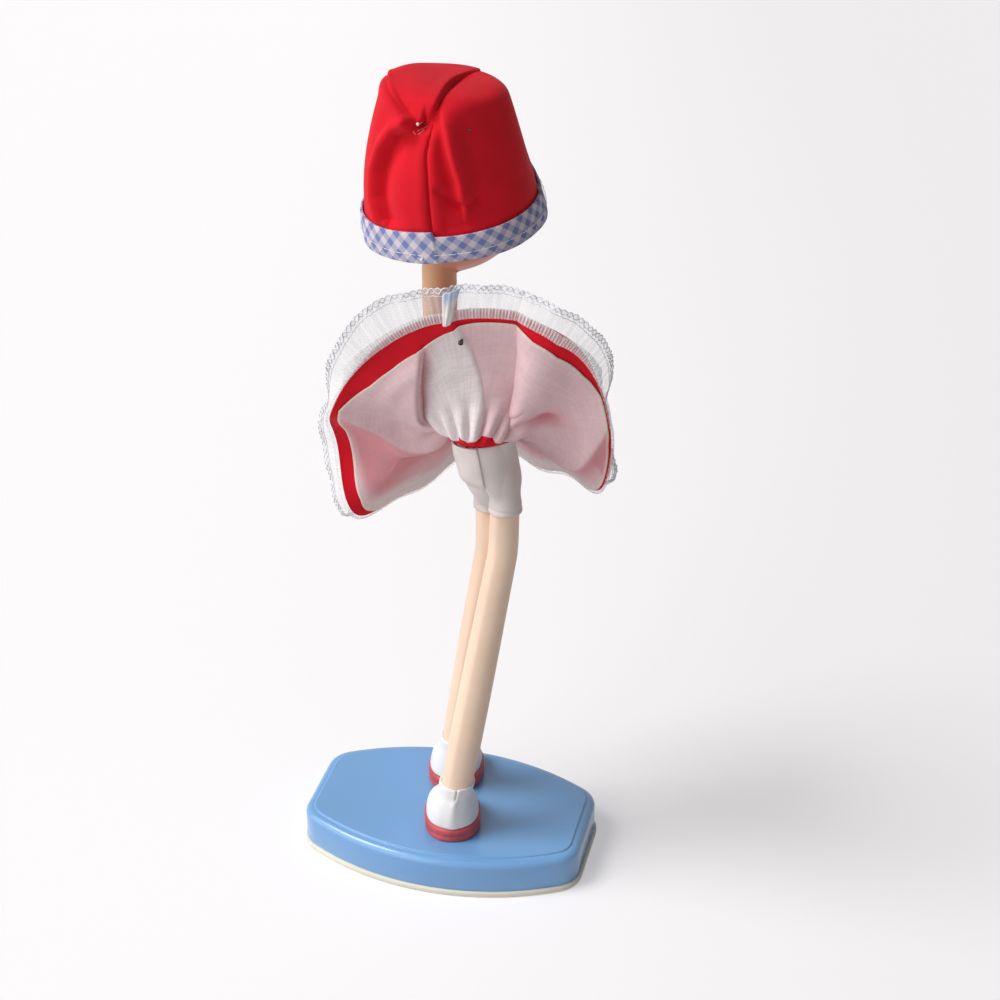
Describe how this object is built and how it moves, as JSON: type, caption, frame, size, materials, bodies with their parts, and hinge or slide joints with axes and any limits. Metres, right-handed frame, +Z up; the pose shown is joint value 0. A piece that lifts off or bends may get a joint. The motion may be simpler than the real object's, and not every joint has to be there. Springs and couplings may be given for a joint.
{
  "type": "vinyl doll",
  "caption": "Slim standing vinyl doll on a painted barrel-shaped stand, in a red bag hat with a gingham band and a lace-edged red dress turned up at the back.",
  "frame": {"origin": "middle of the stand's underside", "axes": "+Z up, -Y the way the doll faces, +X to the doll's left"},
  "size_m": [0.1339, 0.0971, 0.3409],
  "materials": {
    "plate": "cream, satin",
    "board": "blue gloss paint",
    "stuffing": "stuffed cotton",
    "white_cotton": "plain weave",
    "red_cotton": "plain weave",
    "organdy": "sheer plain weave",
    "lace": "clear net",
    "gingham": "woven check on the bias",
    "neck_vinyl": "beige vinyl",
    "head_vinyl": "pink vinyl",
    "leg_vinyl": "peach vinyl",
    "shoe": "white vinyl",
    "sole": "red vinyl",
    "hair": "brown fibre",
    "wire": "drawn",
    "dowel": "plain",
    "white_pin": "gloss",
    "dark_pin": "gloss"
  },
  "bodies": {
    "figure": {"base_plate": "plate", "base_board": "board", "torso": "stuffing", "bloomers": "white_cotton", "bodice": "red_cotton", "skirt": "red_cotton", "skirt_lining": "organdy", "hem_lace": "lace", "lace_join": "lace", "skirt_pin": "dark_pin", "neck": "neck_vinyl", "neck_dowel": "dowel", "right_leg_wire": "wire", "right_leg": "leg_vinyl", "right_sole": "sole", "right_shoe": "shoe", "left_leg_wire": "wire", "left_leg": "leg_vinyl", "left_sole": "sole", "left_shoe": "shoe"},
    "head": {"head": "head_vinyl", "hair_fringe": "hair", "hat_crown": "red_cotton", "hat_band": "gingham", "hat_tack_pin": "white_pin", "hat_side_pin": "dark_pin", "hat_band_pin": "white_pin"},
    "right_arm": {"right_arm": "leg_vinyl"},
    "left_arm": {"left_arm": "leg_vinyl"}
  },
  "joints": [
    {"name": "head_turn", "type": "hinge", "parent": "figure", "child": "head", "pos_m": [0.0032, -0.007, 0.2643], "axis": [0, 0, 1], "range_deg": [-40, 80]},
    {"name": "right_arm_swing", "type": "hinge", "parent": "figure", "child": "right_arm", "pos_m": [-0.01963, -0.00284, 0.228], "axis": [-1, 0, 0], "range_deg": [-35, 45]},
    {"name": "left_arm_swing", "type": "hinge", "parent": "figure", "child": "left_arm", "pos_m": [0.01404, -0.00284, 0.228], "axis": [-1, 0, 0], "range_deg": [-35, 45]}
  ]
}
